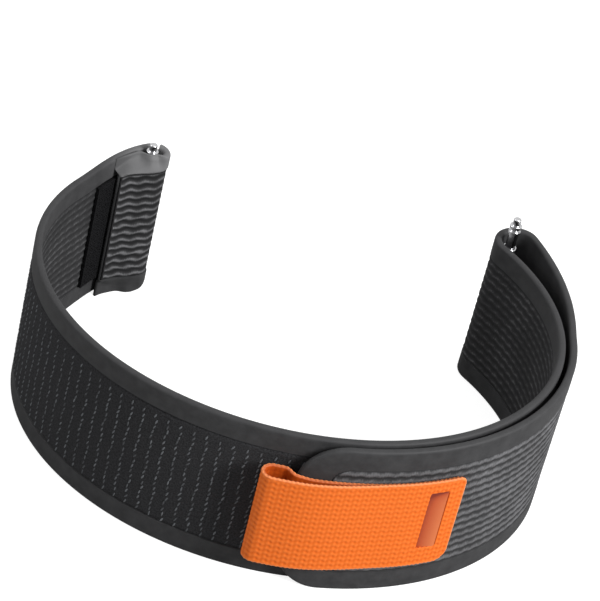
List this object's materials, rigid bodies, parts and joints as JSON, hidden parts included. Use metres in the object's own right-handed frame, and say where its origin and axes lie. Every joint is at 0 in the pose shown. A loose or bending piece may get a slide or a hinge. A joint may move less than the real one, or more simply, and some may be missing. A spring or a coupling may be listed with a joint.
{
  "type": "nylon watch strap",
  "caption": "Hook-and-loop nylon watch strap: a woven band folded round two sprung bars, closed by a tongued flap with a pull tab.",
  "frame": {"origin": "bottom centre of the whole strap's box, with the strap standing on its lower edges", "axes": "+Z along the strap's width, +X across the wrist towards the side with the folded loop of the flap layer, +Y from the pull tab at the front to the open gap for the watch"},
  "size_m": [0.0682, 0.056, 0.0256],
  "materials": {
    "pressed_nylon": "woven nylon with heat-pressed smooth borders, charcoal",
    "ribbed_nylon": "woven nylon with wavy lengthwise ribs, charcoal",
    "loop_pile": "black loop pile with rows of small grey woven dashes",
    "hook_tape": "black fuzzy hook tape",
    "orange_webbing": "bright orange fine-woven webbing",
    "moulded_grip": "smooth reddish-orange moulded insert, satin, its face sunk a little below the webbing",
    "polished_steel": "polished stainless steel",
    "spring_steel": "bare spring wire"
  },
  "bodies": {
    "front": {"front_band": "pressed_nylon", "front_lining": "ribbed_nylon", "front_loop_field": "loop_pile", "return_band": "pressed_nylon", "return_rib_panel": "ribbed_nylon"},
    "left_arm": {"left_arm_band": "pressed_nylon", "left_arm_lining": "ribbed_nylon", "left_arm_loop_field": "loop_pile"},
    "left_tail": {"left_tail": "pressed_nylon", "left_tail_rib_panel": "ribbed_nylon", "left_tail_hook_tape": "hook_tape"},
    "right_arm": {"right_arm_band": "pressed_nylon", "right_arm_rib_panel": "ribbed_nylon"},
    "flap": {"flap": "pressed_nylon", "flap_rib_panel": "ribbed_nylon", "flap_hook_pad": "hook_tape", "pull_tab_end": "orange_webbing", "pull_tab_grip": "moulded_grip"},
    "pull_tab": {"pull_tab_loop": "orange_webbing"},
    "left_bar": {"left_bar_barrel": "polished_steel", "left_bar_spring": "spring_steel"},
    "left_upper_plunger": {"left_bar_upper_plunger": "polished_steel"},
    "left_lower_plunger": {"left_bar_lower_plunger": "polished_steel"},
    "right_bar": {"right_bar_barrel": "polished_steel", "right_bar_spring": "spring_steel"},
    "right_upper_plunger": {"right_bar_upper_plunger": "polished_steel"},
    "right_lower_plunger": {"right_bar_lower_plunger": "polished_steel"}
  },
  "joints": [
    {"name": "left_arm_flex", "type": "hinge", "parent": "front", "child": "left_arm", "pos_m": [-0.03363, 0.0033, 0.011], "axis": [0, 0, 1], "range_deg": [-15, 35], "stiffness_Nm_per_rad": 0.02},
    {"name": "right_arm_flex", "type": "hinge", "parent": "front", "child": "right_arm", "pos_m": [0.03362, 0.00382, 0.011], "axis": [0, 0, -1], "range_deg": [-15, 35], "stiffness_Nm_per_rad": 0.02},
    {"name": "flap_peel", "type": "hinge", "parent": "front", "child": "flap", "pos_m": [0.0258, -0.01592, 0.011], "axis": [0, 0, 1], "range_deg": [0, 75]},
    {"name": "pull_tab_lift", "type": "hinge", "parent": "flap", "child": "pull_tab", "pos_m": [0.01853, -0.02277, 0.011], "axis": [0, 0, 1], "range_deg": [0, 60], "stiffness_Nm_per_rad": 0.002},
    {"name": "left_tail_peel", "type": "hinge", "parent": "left_arm", "child": "left_tail", "pos_m": [-0.02367, 0.02128, 0.011], "axis": [0, 0, 1], "range_deg": [0, 80]},
    {"name": "left_bar_spin", "type": "hinge", "parent": "left_arm", "child": "left_bar", "pos_m": [-0.02405, 0.02335, 0.01165], "axis": [0, 0, 1], "continuous": true},
    {"name": "left_upper_plunger_slide", "type": "slide", "parent": "left_bar", "child": "left_upper_plunger", "axis": [0, 0, -1], "range_m": [0, 0.0012], "stiffness_N_per_m": 500, "springref_m": -0.0004, "deforming": ["left_bar_spring"]},
    {"name": "left_lower_plunger_slide", "type": "slide", "parent": "left_bar", "child": "left_lower_plunger", "axis": [0, 0, 1], "range_m": [0, 0.0012], "stiffness_N_per_m": 500, "springref_m": -0.0004, "deforming": ["left_bar_spring"]},
    {"name": "right_bar_spin", "type": "hinge", "parent": "right_arm", "child": "right_bar", "pos_m": [0.02337, 0.02439, 0.01415], "axis": [0, 0, 1], "continuous": true},
    {"name": "right_upper_plunger_slide", "type": "slide", "parent": "right_bar", "child": "right_upper_plunger", "axis": [0, 0, -1], "range_m": [0, 0.0012], "stiffness_N_per_m": 500, "springref_m": -0.0004, "deforming": ["right_bar_spring"]},
    {"name": "right_lower_plunger_slide", "type": "slide", "parent": "right_bar", "child": "right_lower_plunger", "axis": [0, 0, 1], "range_m": [0, 0.0012], "stiffness_N_per_m": 500, "springref_m": -0.0004, "deforming": ["right_bar_spring"]}
  ]
}
